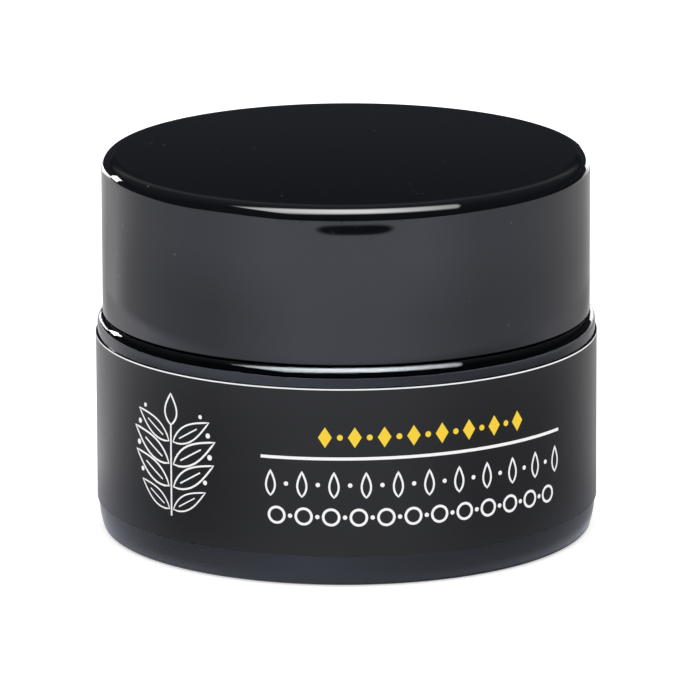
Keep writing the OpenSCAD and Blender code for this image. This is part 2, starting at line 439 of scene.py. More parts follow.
def sprigTree():
    # a motif by turns on both sides of an upright stem, smaller towards its two ends
    tree, given = newTree("leafySprig", [("Motif", "Object"), ("Count", "Int"), ("Height", "Float"),
                                         ("Away", "Float"), ("Lean", "Float"), ("Shift", "Float"),
                                         ("Finish", "Material")])
    parts = tree.nodes.new("GeometryNodeJoinGeometry")
    motif = tree.nodes.new("GeometryNodeObjectInfo")
    tree.links.new(given["Motif"], motif.inputs["Object"])
    index = tree.nodes.new("GeometryNodeInputIndex")
    share = maths(tree, "DIVIDE", maths(tree, "ADD", index.outputs[0], given["Shift"]), given["Count"])
    swell = maths(tree, "SINE", maths(tree, "ADD", maths(tree, "MULTIPLY", share, 2.3), 0.45))
    grow = maths(tree, "ADD", maths(tree, "MULTIPLY", swell, 0.5), 0.5)
    for side in (-1, 1):
        points = tree.nodes.new("GeometryNodePoints")
        tree.links.new(given["Count"], points.inputs["Count"])
        place = tree.nodes.new("ShaderNodeCombineXYZ")
        joinTo(tree, maths(tree, "MULTIPLY", given["Away"], side), place.inputs[0])
        height = maths(tree, "MULTIPLY", maths(tree, "SUBTRACT", share, 0.5), given["Height"])
        joinTo(tree, height, place.inputs[1])
        tree.links.new(place.outputs[0], points.inputs["Position"])
        turn = tree.nodes.new("ShaderNodeCombineXYZ")
        heading = maths(tree, "SUBTRACT", math.pi / 2, maths(tree, "MULTIPLY", given["Lean"], side))
        joinTo(tree, heading, turn.inputs[2])
        toRotation = tree.nodes.new("FunctionNodeEulerToRotation")
        tree.links.new(turn.outputs[0], toRotation.inputs[0])
        size = tree.nodes.new("ShaderNodeCombineXYZ")
        for socket in size.inputs:
            joinTo(tree, grow, socket)
        instance = tree.nodes.new("GeometryNodeInstanceOnPoints")
        tree.links.new(points.outputs[0], instance.inputs["Points"])
        tree.links.new(motif.outputs["Geometry"], instance.inputs["Instance"])
        tree.links.new(toRotation.outputs[0], instance.inputs["Rotation"])
        tree.links.new(size.outputs[0], instance.inputs["Scale"])
        tree.links.new(instance.outputs[0], parts.inputs[0])
    tree.links.new(given["Geometry"], parts.inputs[0])
    closeTree(tree, parts.outputs[0], given["Finish"])
    return tree


def wrapTree():
    # bends a flat print round the jar, and gives the ink its thickness
    names = ["Radius", "Angle", "Height", "Slope", "Ink Height"]
    tree, given = newTree("wrapOnJar", [(n, "Float") for n in names] + [("Finish", "Material")])
    place = tree.nodes.new("GeometryNodeInputPosition")
    split = tree.nodes.new("ShaderNodeSeparateXYZ")
    tree.links.new(place.outputs[0], split.inputs[0])
    u, v, w = split.outputs[:3]
    angle = maths(tree, "ADD", given["Angle"], maths(tree, "DIVIDE", u, given["Radius"]))
    radius = maths(tree, "ADD", given["Radius"], w)
    spot = tree.nodes.new("ShaderNodeCombineXYZ")
    joinTo(tree, maths(tree, "MULTIPLY", maths(tree, "SINE", angle), radius), spot.inputs[0])
    front = maths(tree, "MULTIPLY", maths(tree, "COSINE", angle), -1.0)
    joinTo(tree, maths(tree, "MULTIPLY", front, radius), spot.inputs[1])
    level = maths(tree, "ADD", given["Height"], v)
    level = maths(tree, "ADD", level, maths(tree, "MULTIPLY", u, given["Slope"]))
    joinTo(tree, level, spot.inputs[2])
    thick = tree.nodes.new("GeometryNodeExtrudeMesh")
    thick.mode = "FACES"
    thick.inputs["Individual"].default_value = False
    tree.links.new(given["Geometry"], thick.inputs["Mesh"])
    tree.links.new(given["Ink Height"], thick.inputs["Offset Scale"])
    flip = tree.nodes.new("GeometryNodeFlipFaces")
    tree.links.new(given["Geometry"], flip.inputs[0])
    join = tree.nodes.new("GeometryNodeJoinGeometry")
    tree.links.new(flip.outputs[0], join.inputs[0])
    tree.links.new(thick.outputs["Mesh"], join.inputs[0])
    weld = tree.nodes.new("GeometryNodeMergeByDistance")
    weld.inputs["Distance"].default_value = 0.001 * mm
    tree.links.new(join.outputs[0], weld.inputs[0])
    bend = tree.nodes.new("GeometryNodeSetPosition")
    tree.links.new(weld.outputs[0], bend.inputs["Geometry"])
    tree.links.new(spot.outputs[0], bend.inputs["Position"])
    closeTree(tree, bend.outputs[0], given["Finish"])
    return tree


print("node trees ready")


def newGroup(name, inputs, outputs):
    group = bpy.data.node_groups.new(name, "ShaderNodeTree")
    for label_, low in inputs:
        socket = group.interface.new_socket(name=label_, in_out="INPUT", socket_type="NodeSocketFloat")
        socket.default_value = low
    for label_ in outputs:
        group.interface.new_socket(name=label_, in_out="OUTPUT", socket_type="NodeSocketFloat")
    entry = group.nodes.new("NodeGroupInput")
    leave = group.nodes.new("NodeGroupOutput")
    return group, entry.outputs, leave.inputs


def noiseIn(group, scale, detail=2.0, coordinates=None):
    noise = group.nodes.new("ShaderNodeTexNoise")
    noise.inputs["Detail"].default_value = detail
    joinTo(group, scale, noise.inputs["Scale"])
    group.links.new(coordinates, noise.inputs["Vector"])
    return noise.outputs["Fac"]


def spread(group, value, low, high, start=0.0, end=1.0):
    node = group.nodes.new("ShaderNodeMapRange")
    for item, socket in zip((value, start, end, low, high), node.inputs):
        joinTo(group, item, socket)
    return node.outputs[0]


def polishGroup():
    # fine haze, hairline scratches and dust of a handled glossy surface
    group, given, leave = newGroup(
        "handledPolish",
        [("Haze Scale", 90.0), ("Low Roughness", 0.03), ("High Roughness", 0.09),
         ("Scratches", 0.3), ("Dust", 0.2)],
        ["Roughness", "Dust Mask", "Height"],
    )
    place = group.nodes.new("ShaderNodeTexCoord").outputs["Object"]
    haze = noiseIn(group, given["Haze Scale"], 4.0, place)
    stretch = group.nodes.new("ShaderNodeMapping")
    stretch.inputs["Scale"].default_value = (2600, 160, 900)
    stretch.inputs["Rotation"].default_value = (0.5, 0.2, 0.9)
    group.links.new(place, stretch.inputs["Vector"])
    lines = noiseIn(group, 1.0, 1.0, stretch.outputs[0])
    scratch = maths(group, "MULTIPLY", spread(group, lines, 0.0, 1.0, 0.66, 0.72), given["Scratches"])
    rough = spread(group, haze, given["Low Roughness"], given["High Roughness"], 0.3, 0.7)
    rough = maths(group, "ADD", rough, maths(group, "MULTIPLY", scratch, 0.12), clamp=True)
    joinTo(group, rough, leave["Roughness"])
    specks = group.nodes.new("ShaderNodeTexVoronoi")
    specks.inputs["Scale"].default_value = 900
    group.links.new(place, specks.inputs["Vector"])
    patch = noiseIn(group, 260.0, 2.0, place)
    near = spread(group, specks.outputs["Distance"], 1.0, 0.0, 0.05, 0.12)
    chosen = maths(group, "MULTIPLY", near, maths(group, "GREATER_THAN", patch, 0.62))
    joinTo(group, maths(group, "MULTIPLY", chosen, given["Dust"]), leave["Dust Mask"])
    wave = noiseIn(group, 45.0, 1.0, place)
    joinTo(group, maths(group, "ADD", wave, maths(group, "MULTIPLY", scratch, -0.05)), leave["Height"])
    return group


def grainGroup():
    # the close, even grain of moulded or printed matt surfaces
    group, given, leave = newGroup(
        "mattGrain",
        [("Grain Scale", 3000.0), ("Low Roughness", 0.45), ("High Roughness", 0.6), ("Stretch", 1.0)],
        ["Roughness", "Tone", "Height"],
    )
    place = group.nodes.new("ShaderNodeTexCoord").outputs["Object"]
    squeeze = group.nodes.new("ShaderNodeCombineXYZ")
    for value, socket in zip((1.0, 1.0, given["Stretch"]), squeeze.inputs):
        joinTo(group, value, socket)
    stretch = group.nodes.new("ShaderNodeMapping")
    group.links.new(place, stretch.inputs["Vector"])
    group.links.new(squeeze.outputs[0], stretch.inputs["Scale"])
    fine = noiseIn(group, given["Grain Scale"], 3.0, stretch.outputs[0])
    broad = noiseIn(group, 140.0, 3.0, place)
    rough = spread(group, fine, given["Low Roughness"], given["High Roughness"], 0.3, 0.7)
    joinTo(group, rough, leave["Roughness"])
    tone = maths(group, "ADD", maths(group, "MULTIPLY", fine, 0.6), maths(group, "MULTIPLY", broad, 0.4))
    joinTo(group, tone, leave["Tone"])
    joinTo(group, fine, leave["Height"])
    return group


polish = polishGroup()
grain = grainGroup()


def newMaterial(name, **values):
    material = bpy.data.materials.new(name)
    material.use_nodes = True
    shader = material.node_tree.nodes["Principled BSDF"]
    for key, value in values.items():
        socket = shader.inputs[key.replace("_", " ")]
        socket.default_value = (*value, 1) if isinstance(value, tuple) else value
    material.diffuse_color = shader.inputs["Base Color"].default_value
    return material, material.node_tree, shader


def useGroup(tree, group, **values):
    node = tree.nodes.new("ShaderNodeGroup")
    node.node_tree = group
    for key, value in values.items():
        node.inputs[key.replace("_", " ")].default_value = value
    return node.outputs


def addBump(tree, shader, height, strength, distance):
    bump = tree.nodes.new("ShaderNodeBump")
    bump.inputs["Strength"].default_value = strength
    bump.inputs["Distance"].default_value = distance
    tree.links.new(height, bump.inputs["Height"])
    tree.links.new(bump.outputs[0], shader.inputs["Normal"])


def mixColour(tree, share, first, second):
    mix = tree.nodes.new("ShaderNodeMix")
    mix.data_type = "RGBA"
    tree.links.new(share, mix.inputs["Factor"])
    mix.inputs[6].default_value = (*first, 1)
    mix.inputs[7].default_value = (*second, 1)
    return mix.outputs[2]


def glossBlack():
    material, tree, shader = newMaterial("glossBlackPlastic", IOR=1.48)
    worn = useGroup(tree, polish, Haze_Scale=70, Low_Roughness=0.008, High_Roughness=0.022,
                    Scratches=0.3, Dust=0.5)
    tree.links.new(worn["Roughness"], shader.inputs["Roughness"])
    tree.links.new(mixColour(tree, worn["Dust Mask"], (0.0035, 0.0038, 0.0048), (0.2, 0.2, 0.2)),
                   shader.inputs["Base Color"])
    addBump(tree, shader, worn["Height"], 0.05, 0.02 * mm)
    return material


def violetGlass():
    material, tree, shader = newMaterial("darkVioletGlass", Base_Color=(1.0, 1.0, 1.0), IOR=1.59,
                                         Transmission_Weight=1.0, Specular_Tint=(0.88, 0.935, 1.0))
    worn = useGroup(tree, polish, Haze_Scale=50, Low_Roughness=0.0, High_Roughness=0.006,
                    Scratches=0.1, Dust=0.0)
    tree.links.new(worn["Roughness"], shader.inputs["Roughness"])
    addBump(tree, shader, worn["Height"], 0.02, 0.02 * mm)
    depth = tree.nodes.new("ShaderNodeVolumeAbsorption")
    depth.inputs["Color"].default_value = (0.58, 0.04, 0.66, 1)
    depth.inputs["Density"].default_value = 2500
    tree.links.new(depth.outputs[0], tree.nodes["Material Output"].inputs["Volume"])
    return material


def mattFilm():
    material, tree, shader = newMaterial("mattBlackFilm", IOR=1.42)
    face = useGroup(tree, grain, Grain_Scale=5200, Low_Roughness=0.19, High_Roughness=0.27)
    tree.links.new(face["Roughness"], shader.inputs["Roughness"])
    tree.links.new(mixColour(tree, face["Tone"], (0.006, 0.006, 0.0062), (0.011, 0.011, 0.0114)),
                   shader.inputs["Base Color"])
    addBump(tree, shader, face["Height"], 0.25, 0.01 * mm)
    return material


def inkOrPaper(name, colour, roughness):
    material, tree, shader = newMaterial(name, IOR=1.45)
    face = useGroup(tree, grain, Grain_Scale=4000, Low_Roughness=roughness - 0.05,
                    High_Roughness=roughness + 0.05)
    tree.links.new(face["Roughness"], shader.inputs["Roughness"])
    darker = tuple(c * 0.9 for c in colour)
    tree.links.new(mixColour(tree, face["Tone"], darker, colour), shader.inputs["Base Color"])
    addBump(tree, shader, face["Height"], 0.1, 0.01 * mm)
    return material


def mouldedPlastic(name, colour, roughness, scatter=0.0):
    material, tree, shader = newMaterial(name, IOR=1.49, Subsurface_Weight=scatter)
    shader.inputs["Subsurface Radius"].default_value = (1.0, 0.95, 0.9)
    shader.inputs["Subsurface Scale"].default_value = 0.6 * mm
    face = useGroup(tree, grain, Grain_Scale=2600, Low_Roughness=roughness - 0.07,
                    High_Roughness=roughness + 0.07)
    tree.links.new(face["Roughness"], shader.inputs["Roughness"])
    darker = tuple(c * 0.86 for c in colour)
    tree.links.new(mixColour(tree, face["Tone"], darker, colour), shader.inputs["Base Color"])
    addBump(tree, shader, face["Height"], 0.2, 0.02 * mm)
    return material


def linerFoam():
    material, tree, shader = newMaterial("whiteFoam", IOR=1.45, Roughness=0.75)
    place = tree.nodes.new("ShaderNodeTexCoord").outputs["Object"]
    cells = tree.nodes.new("ShaderNodeTexVoronoi")
    cells.inputs["Scale"].default_value = 5000
    tree.links.new(place, cells.inputs["Vector"])
    tree.links.new(mixColour(tree, cells.outputs["Distance"], (0.80, 0.80, 0.77), (0.90, 0.90, 0.88)),
                   shader.inputs["Base Color"])
    addBump(tree, shader, cells.outputs["Distance"], 0.4, 0.03 * mm)
    return material


finish = {
    "shell": glossBlack(),
    "glass": violetGlass(),
    "film": mattFilm(),
    "paper": inkOrPaper("whitePaperEdge", (0.9, 0.9, 0.92), 0.6),
    "whiteInk": inkOrPaper("whiteInk", (0.93, 0.93, 0.93), 0.5),
    "yellowInk": inkOrPaper("yellowInk", (0.93, 0.63, 0.02), 0.5),
    "innerCap": mouldedPlastic("blackMouldedPlastic", (0.018, 0.018, 0.02), 0.4),
    "disc": mouldedPlastic("softWhitePlastic", (0.82, 0.82, 0.8), 0.38, scatter=0.35),
    "foam": linerFoam(),
}
print("materials ready")

trees = {
    "thread": threadTree(),
    "ridges": ridgeTree(),
    "bars": barsTree(),
    "grooves": grooveTree(),
    "row": rowTree(),
    "sprig": sprigTree(),
    "wrap": wrapTree(),
}

jar = {
    "heelHeight": 2.8 * mm,
    "heelCurve": 8 * mm,
    "foot": 0.6 * mm,
    "shoulder": ((50, 1.2 * mm), (90, 0.45 * mm)),  # up to this tilt, with this radius
    "bodyHeight": 20.28 * mm,
    "neckRadius": 18.7 * mm,
    "neckFillet": 0.8 * mm,
    "neckWall": 2.2 * mm,
    "rim": 0.7 * mm,
    "hollowFloor": 6.3 * mm,
    "hollowFoot": 4 * mm,
    "standWidth": 3 * mm,
    "pushUp": 0.9 * mm,
    "glue": 0.03 * mm,
}

# six threads to the inch, one and a quarter turns on the neck
neckThread = {
    "Start Height": 24.1 * mm,
    "Pitch": 25.4 / 6 * mm,
    "Turns": 1.25,
    "Depth": 1.05 * mm,
    "Foot Width": 2.3 * mm,
    "Crest Width": 0.8 * mm,
    "Fade": 0.05,
}

standRidges = {"Count": 64, "Depth": 0.06 * mm, "Inner Radius": 19.3 * mm, "Outer Radius": 21.5 * mm}

labelLow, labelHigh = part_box("wrap_label")
labelRadius = labelHigh.x
label = {"thickness": 0.12 * mm, "split": 2 * mm, "margin": 0.02 * mm, "whiteLine": 0.13 * mm,
         "inkHeight": 0.02 * mm}
glassRadius = labelRadius - label["thickness"] - jar["glue"]


def heelPath():
    # a small rounding off the standing ring, then the long curve up to the straight side
    small, large, top = jar["foot"], jar["heelCurve"], jar["heelHeight"]
    meet = math.asin((top - small) / (large - small))
    standOut = glassRadius - large + (large - small) * math.cos(meet)
    path = []
    for k in range(11):
        a = -math.pi / 2 + (math.pi / 2 - meet) * k / 10
        path.append((standOut + small * math.cos(a), small + small * math.sin(a)))
    for k in range(1, 25):
        a = -meet * (1 - k / 24)
        path.append((glassRadius - large + large * math.cos(a), top + large * math.sin(a)))
    return path


def shoulderPath():
    # from the straight side up to the flat top, the last arc tighter
    path = [(glassRadius, -0.04 * mm), (glassRadius, 0.0)]
    last = 0.0
    for degrees, radius in jar["shoulder"]:
        tilt = math.radians(degrees)
        r, z = path[-1]
        centre = (r - radius * math.cos(last), z - radius * math.sin(last))
        steps = 4 + round(degrees / 15)
        for k in range(1, steps + 1):
            a = last + (tilt - last) * k / steps
            path.append((centre[0] + radius * math.cos(a), centre[1] + radius * math.sin(a)))
        last = tilt
    drop = jar["bodyHeight"] - path[-1][1]
    return [(r, z + drop) for r, z in path]


def makeGlassJar():
    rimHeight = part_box("glass_jar")[1].z
    mouth = jar["neckRadius"] - jar["neckWall"]
    heel = heelPath()
    standOut = heel[0][0]
    standIn = standOut - jar["standWidth"]
    dome = (standIn ** 2 + jar["pushUp"] ** 2) / (2 * jar["pushUp"])
    rings = [standIn * k / 24 for k in range(24)]
    pushUp = [(r, math.sqrt(dome ** 2 - r ** 2) - dome + jar["pushUp"]) for r in rings]
    ring = [(standIn + (standOut - standIn) * k / 10, 0.0) for k in range(1, 10)]
    wall = roundedPath([
        (glassRadius, jar["heelHeight"], 0, 1 * mm),
        *shoulderPath(),
        (jar["neckRadius"], jar["bodyHeight"], jar["neckFillet"], 0.12 * mm),
        (jar["neckRadius"], rimHeight, jar["rim"]),
        (mouth, rimHeight, jar["rim"], 1 * mm),
        (mouth, jar["hollowFloor"], jar["hollowFoot"], 2 * mm),
        (0, jar["hollowFloor"]),
    ])
    piece = lathe("glassJar", pushUp + [(standIn, 0.0)] + ring + heel + wall[1:])
    bakeNodes(piece, trees["ridges"], **standRidges, Finish=finish["glass"])
    bakeNodes(piece, trees["thread"], **neckThread,
              **{"Wall Radius": jar["neckRadius"], "Finish": finish["glass"]})
    finishPiece(piece, "jar", "violet_glass", "glass_jar")
    return piece


def makeLabelFilm():
    halfSplit = label["split"] / labelRadius / 2
    inner = labelRadius - label["thickness"]
    whiteHigh = labelHigh.z - label["margin"]
    whiteLow = whiteHigh - label["whiteLine"]
    section = [(inner, labelLow.z), (labelRadius, labelLow.z), (labelRadius, whiteLow),
               (labelRadius, whiteHigh), (labelRadius, labelHigh.z), (inner, labelHigh.z)]
    piece = lathe("labelFilm", section, segments=400, start=math.pi / 2 + halfSplit,
                  sweep=fullTurn - 2 * halfSplit, ring=True)
    piece.data.materials.append(finish["film"])
    piece.data.materials.append(finish["paper"])
    for face in piece.data.polygons:
        face.material_index = int(whiteLow < face.center.z < whiteHigh)
    finishPiece(piece, "jar", "label_film", "wrap_label")
    return piece


glassJar = makeGlassJar()
labelFilm = makeLabelFilm()

# the print: an upright sprig, a yellow row, a rule and two white rows, all generic
ink = {
    "line": 0.18 * mm,
    "sprigHeight": 8.4 * mm,
    "sprigLeaf": (5.5 * mm, 0.86 * mm),
    "sprigBerry": (5.05 * mm, 0.25 * mm),
    "sprigLeafCurve": 0.22 * mm,
    "sprigTop": (2.9 * mm, 0.74 * mm),
    "sprigTopRise": 1.5 * mm,
    "sprigShift": -0.48 * mm,
    "sprigLean": 1.05,
    "sprigAway": 0.1 * mm,
    "sprigLeaves": 4,
    "lozenge": (0.62 * mm, 0.95 * mm),
    "dot": 0.27 * mm,
    "yellowMotifs": 15,
    "ruleWidth": 0.28 * mm,
    "bandLeaf": (2.3 * mm, 0.42 * mm),
    "bandMotifs": 21,
    "bead": 0.72 * mm,
    "beadMotifs": 23,
}


def addStrip(bm, columns):
    # flat faces between columns of (u, low v, high v)
    last = None
    for u, low, high in columns:
        lower = bm.verts.new((u, low, 0))
        upper = lower if high - low < 1e-7 else bm.verts.new((u, high, 0))
        if last:
            corners = [last[0], lower, upper, last[1]]
            bm.faces.new([v for i, v in enumerate(corners) if v not in corners[:i]])
        last = (lower, upper)


def addRibbon(bm, path, width, closed=False):
    # a flat line of even width along a path
    count = len(path)
    sides = []
    for i, here in enumerate(path):
        before = path[i - 1] if i or closed else here
        after = path[(i + 1) % count] if i < count - 1 or closed else here
        along = (Vector(after) - Vector(before)).normalized()
        across = Vector((-along.y, along.x)) * width / 2
        left = Vector(here) + across
        right = Vector(here) - across
        sides.append((bm.verts.new((*left, 0)), bm.verts.new((*right, 0))))
    for i in range(count if closed else count - 1):
        a, b = sides[i], sides[(i + 1) % count]
        bm.faces.new([a[1], b[1], b[0], a[0]])


def flatPrint(name, draw, *values):
    bm = bmesh.new()
    draw(bm, *values)
    mesh = bpy.data.meshes.new(name)
    bm.to_mesh(mesh)
    bm.free()
    return addMesh(name, mesh)


def drawDisc(bm, radius, steps=10):
    angles = [math.pi * k / steps for k in range(steps + 1)]
    addStrip(bm, [(-radius * math.cos(a), -radius * math.sin(a), radius * math.sin(a)) for a in angles])


def drawLozenge(bm, halfWidth, halfHeight, steps=8):
    shares = [2 * k / steps - 1 for k in range(steps + 1)]
    addStrip(bm, [(halfWidth * t, -halfHeight * (1 - abs(t)), halfHeight * (1 - abs(t))) for t in shares])


def leafPath(length, halfWidth, start, steps=11):
    # round a leaf that grows along +u from its stalk end
    upper = []
    for k in range(steps + 1):
        t = k / steps
        upper.append((start + length * t, halfWidth * math.sin(math.pi * t ** 0.8)))
    return upper + [(u, -v) for u, v in reversed(upper[1:-1])]


def drawLeaf(bm, length, halfWidth, start=0.0):
    addRibbon(bm, leafPath(length, halfWidth, start), ink["line"], closed=True)
    vein = [(start + length * (0.18 + 0.5 * k / 5), 0.0) for k in range(6)]
    addRibbon(bm, vein, ink["line"] * 0.8)


def drawUprightLeaf(bm, height, halfWidth):
    turned = [(-v, u - height / 2) for u, v in leafPath(height, halfWidth, 0.0)]
    addRibbon(bm, turned, ink["line"], closed=True)


def drawRing(bm, radius, steps=24):
    angles = [fullTurn * k / steps for k in range(steps)]
    circle = [(radius * math.cos(a), radius * math.sin(a)) for a in angles]
    addRibbon(bm, circle, ink["line"] * 1.3, closed=True)


def drawBerry(bm, away, radius):
    angles = [math.pi * k / 8 for k in range(9)]
    addStrip(bm, [(away - radius * math.cos(a), -radius * math.sin(a), radius * math.sin(a)) for a in angles])


def drawStem(bm, height):
    path = [(0.0, height * (k / 24 - 0.5)) for k in range(25)]
    addRibbon(bm, path, ink["line"])


def drawRule(bm, length):
    steps = 90
    half = ink["ruleWidth"] / 2
    addStrip(bm, [(length * (k / steps - 0.5), -half, half) for k in range(steps + 1)])


def angleOf(place):
    return math.atan2(place.x, -place.y)


def wrapOn(piece, angle, height, slope, colour):
    bakeNodes(piece, trees["wrap"], Radius=labelRadius - 0.002 * mm, Angle=angle, Height=height, Slope=slope,
              **{"Ink Height": label["inkHeight"], "Finish": colour})


def wrapBetween(piece, leftName, rightName, colour):
    # puts a row between its two image points
    left, right = pointOn(labelFilm, leftName), pointOn(labelFilm, rightName)
    length = labelRadius * (angleOf(right) - angleOf(left))
    middle = (angleOf(left) + angleOf(right)) / 2
    wrapOn(piece, middle, (left.z + right.z) / 2, (right.z - left.z) / length, colour)


def rowLength(leftName, rightName):
    return labelRadius * (angleOf(pointOn(labelFilm, rightName)) - angleOf(pointOn(labelFilm, leftName)))


def makeRow(name, leftName, rightName, first, second, count, motifWidth, colour):
    piece = addMesh(name, bpy.data.meshes.new(name))
    bakeNodes(piece, trees["row"], Count=count, Length=rowLength(leftName, rightName) - motifWidth,
              **{"First Motif": first, "Second Motif": second, "Finish": colour})
    wrapBetween(piece, leftName, rightName, colour)
    return piece


def makeSprig(colour, slope):
    height = ink["sprigHeight"]
    leaf = flatPrint("sprigLeaf", drawLeaf, *ink["sprigLeaf"], ink["sprigLeafCurve"])
    berry = flatPrint("sprigBerry", drawBerry, *ink["sprigBerry"])
    piece = flatPrint("sprig", drawStem, height)
    for motif, shift in ((leaf, 0.25), (berry, 0.7)):
        bakeNodes(piece, trees["sprig"], Motif=motif, Count=ink["sprigLeaves"], Height=height,
                  Away=ink["sprigAway"], Lean=ink["sprigLean"], Shift=shift, Finish=colour)
    top = flatPrint("sprigTop", drawUprightLeaf, *ink["sprigTop"])
    top.data.transform(Matrix.Translation((0, height / 2 + ink["sprigTopRise"], 0)))
    piece = joinPieces("sprig", [piece, top])
    rise = [v.co.y for v in piece.data.vertices]
    # moved a little to the left, because the curved side narrows the left half as the camera sees it
    piece.data.transform(Matrix.Translation((ink["sprigShift"], -(min(rise) + max(rise)) / 2, 0)))
    middle = pointOn(labelFilm, "sprig")
    wrapOn(piece, angleOf(middle), middle.z, slope, colour)
    for motif in (leaf, berry):
        bpy.data.objects.remove(motif)
    return piece


def joinPieces(name, pieces):
    bm = bmesh.new()
    for piece in pieces:
        bm.from_mesh(piece.data)
    mesh = bpy.data.meshes.new(name)
    bm.to_mesh(mesh)
    bm.free()
    for material in pieces[0].data.materials:
        mesh.materials.append(material)
    for piece in pieces:
        bpy.data.objects.remove(piece)
    return addMesh(name, mesh)


def printLabel():
    white, yellow = finish["whiteInk"], finish["yellowInk"]
    left, right = pointOn(labelFilm, "ruleLeft"), pointOn(labelFilm, "ruleRight")
    slope = (right.z - left.z) / rowLength("ruleLeft", "ruleRight")
    lozenge = flatPrint("lozenge", drawLozenge, *ink["lozenge"])
    dot = flatPrint("dot", drawDisc, ink["dot"])
    smallDot = flatPrint("smallDot", drawDisc, ink["dot"] * 0.75)
    leaf = flatPrint("bandLeaf", drawUprightLeaf, *ink["bandLeaf"])
    ring = flatPrint("beadRing", drawRing, ink["bead"])
    rule = flatPrint("rule", drawRule, rowLength("ruleLeft", "ruleRight"))
    wrapBetween(rule, "ruleLeft", "ruleRight", white)
    rows = {
        "yellow": makeRow("yellow", "yellowLeft", "yellowRight", lozenge, dot, ink["yellowMotifs"],
                          2 * ink["lozenge"][0], yellow),
        "rule": rule,
        "leaves": makeRow("leaves", "leavesLeft", "leavesRight", leaf, smallDot, ink["bandMotifs"],
                          2 * ink["bandLeaf"][1], white),
        "beads": makeRow("beads", "beadsLeft", "beadsRight", ring, smallDot, ink["beadMotifs"],
                         2 * ink["bead"], white),
        "sprig": makeSprig(white, slope),
    }
    for motif in (lozenge, dot, smallDot, leaf, ring):
        bpy.data.objects.remove(motif)
    marks = {name: [v.co.copy() for v in row.data.vertices] for name, row in rows.items()}
    whitePrint = joinPieces("whitePrint", [rows[n] for n in ("rule", "leaves", "beads", "sprig")])
    yellowPrint = joinPieces("yellowPrint", [rows["yellow"]])
    for piece in (whitePrint, yellowPrint):
        finishPiece(piece, "jar", "label_film")
    return whitePrint, yellowPrint, marks


whitePrint, yellowPrint, printMarks = printLabel()

# the lid: a smooth shell with keys, clipped over a threaded inner cap
shellLow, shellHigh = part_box("lid_shell")
capLow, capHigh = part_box("lid_insert")
linerLow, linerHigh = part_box("liner_disc")
discLow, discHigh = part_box("sealing_disc")

shell = {
    "wall": 1.05 * mm,
    "top": 1.2 * mm,
    "edge": 1.27 * mm,
    "foot": 0.04 * mm,
    "keys": 24,
    "keyWidth": 1.6 * mm,
    "keyHeight": 0.3 * mm,
    "snapReach": 0.15 * mm,
}

innerCap = {
    "wall": 0.85 * mm,
    "play": 0.05 * mm,
    "snapHeight": 0.6 * mm,
    "beadHeight": 0.4 * mm,
    "beadReach": 0.35 * mm,
    "columnsPerKey": 16,
}

# the same lead as the neck's thread, and just below it with the lid closed
capThread = {
    "Start Height": neckThread["Start Height"] - 1.35 * mm,
    "Pitch": neckThread["Pitch"],
    "Turns": 1.0,
    "Depth": -1.0 * mm,
    "Foot Width": 1.7 * mm,
    "Crest Width": 0.5 * mm,
    "Fade": 0.05,
}

boreRadius = capHigh.x - shell["snapReach"] - innerCap["play"] - shell["keyHeight"] - innerCap["wall"]
shellInner = shellHigh.x - shell["wall"]
snapTop = capLow.z + innerCap["snapHeight"]
keyFoot = snapTop + innerCap["snapHeight"]


def makeLidShell():
    groove = shellInner + shell["snapReach"] + innerCap["play"]
    ceiling = shellHigh.z - shell["top"]
    path = roundedPath([
        (0, ceiling, 0, 2 * mm),
        (shellInner, ceiling, 0.3 * mm, 1 * mm),
        (shellInner, snapTop + innerCap["play"]),
        (groove, snapTop + innerCap["play"]),
        (groove, capLow.z - innerCap["play"]),
        (shellInner, capLow.z - innerCap["play"]),
        (shellInner, shellLow.z, 0.15 * mm),
        (shellHigh.x, shellLow.z, shell["foot"], 1 * mm),
        (shellHigh.x, shellHigh.z, shell["edge"], 1.5 * mm),
        (0, shellHigh.z),
    ])
    piece = lathe("lidShell", path, segments=384)
    height = ceiling - keyFoot + 0.1 * mm
    depth = shell["keyHeight"] + 0.2 * mm
    bakeNodes(piece, trees["bars"], Count=shell["keys"], Radius=shellInner - shell["keyHeight"] + depth / 2,
              Finish=finish["shell"], **{"Bar Depth": depth, "Bar Width": shell["keyWidth"],
                                         "Bar Height": height, "Middle Height": keyFoot + height / 2})
    finishPiece(piece, "lid", "shell_plastic", "lid_shell")
    return piece


